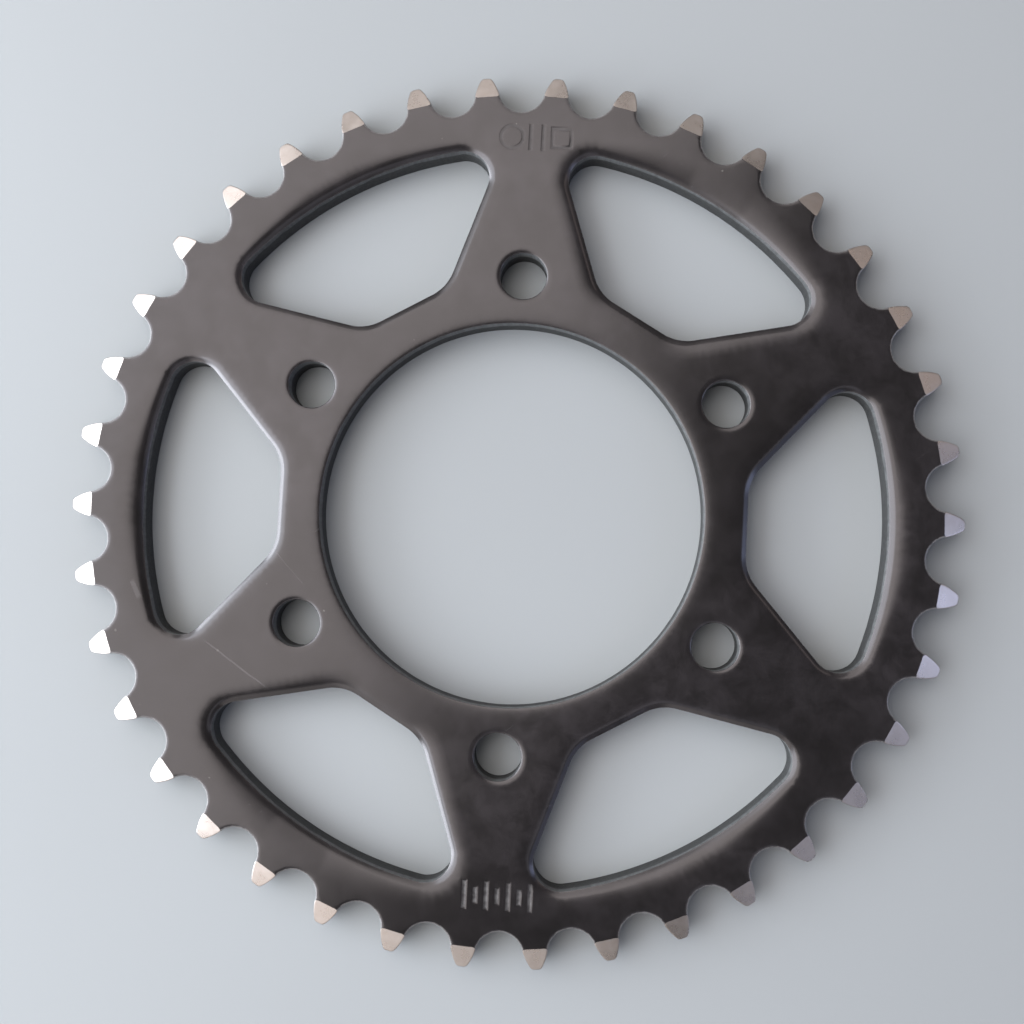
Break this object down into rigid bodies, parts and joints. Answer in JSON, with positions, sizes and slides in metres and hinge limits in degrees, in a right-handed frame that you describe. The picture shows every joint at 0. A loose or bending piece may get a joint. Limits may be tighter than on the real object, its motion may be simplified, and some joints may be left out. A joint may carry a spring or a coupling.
{
  "type": "rear sprocket",
  "caption": "Flat steel rear sprocket with chain teeth, a large pilot bore, a ring of bolt holes and lightening windows between its spokes.",
  "frame": {"origin": "centre of the pilot bore on the back face, which seats against the hub", "axes": "+Z along the spin axis, out of the stamped front face; +Y through the bolt hole of the spoke with the three-figure stamp; +X to the right of it, through the middle of a window"},
  "size_m": [0.1994, 0.1992, 0.0072],
  "materials": {
    "blackened_steel": "satin black coating, with the turned tooth bevels left as bare steel"
  },
  "bodies": {
    "root": {"sprocket_plate": "blackened_steel"}
  },
  "joints": []
}
